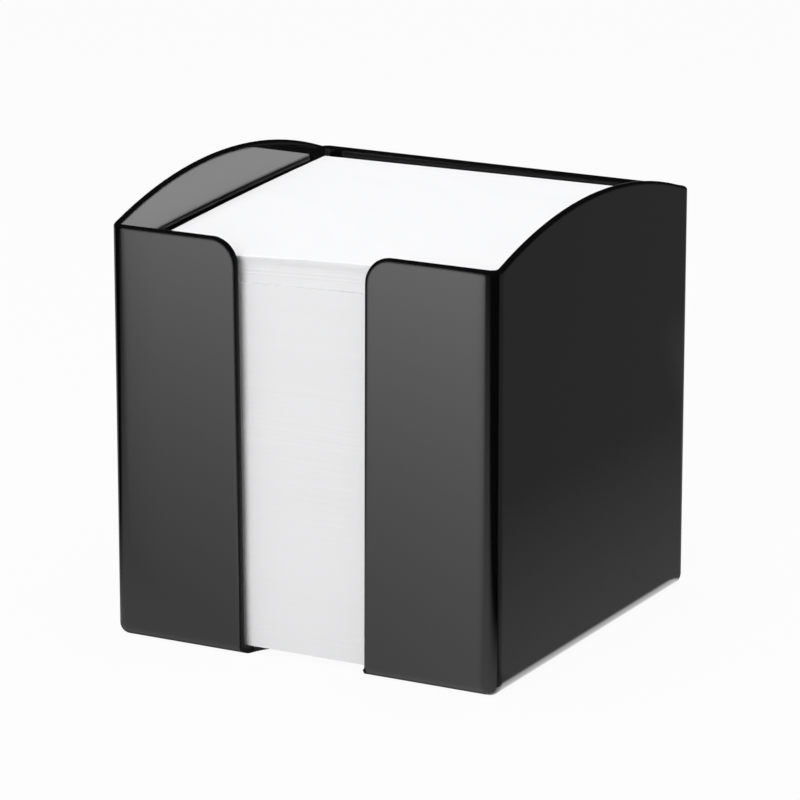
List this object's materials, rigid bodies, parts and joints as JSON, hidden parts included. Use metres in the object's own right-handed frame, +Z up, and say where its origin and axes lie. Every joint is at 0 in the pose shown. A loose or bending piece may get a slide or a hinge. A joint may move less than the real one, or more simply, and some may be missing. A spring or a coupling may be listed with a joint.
{
  "type": "desk note box",
  "caption": "Open-top desk box with a full-height front finger slot and arched sides, filled with loose square note sheets.",
  "frame": {"origin": "middle of the standing face of the holder", "axes": "+Z up, -Y toward the slotted front, +X to the right seen from the front"},
  "size_m": [0.1, 0.1, 0.1065],
  "materials": {
    "moulding": "gloss",
    "paper": "matte"
  },
  "bodies": {
    "holder": {"holder": "moulding"},
    "paper_stack": {"sheets_1": "paper", "sheets_2": "paper", "sheets_3": "paper", "sheets_4": "paper", "sheets_5": "paper", "sheets_6": "paper"},
    "upper_bundle": {"sheets_7": "paper", "sheets_8": "paper"},
    "top_sheet": {"top_sheet": "paper"}
  },
  "joints": [
    {"name": "stack_lift", "type": "slide", "parent": "holder", "child": "paper_stack", "axis": [0, 0, 1], "range_m": [0, 0.11]},
    {"name": "bundle_lift", "type": "slide", "parent": "paper_stack", "child": "upper_bundle", "axis": [0, 0, 1], "range_m": [0, 0.03]},
    {"name": "sheet_lift", "type": "slide", "parent": "upper_bundle", "child": "top_sheet", "axis": [0, 0, 1], "range_m": [0, 0.03]}
  ]
}
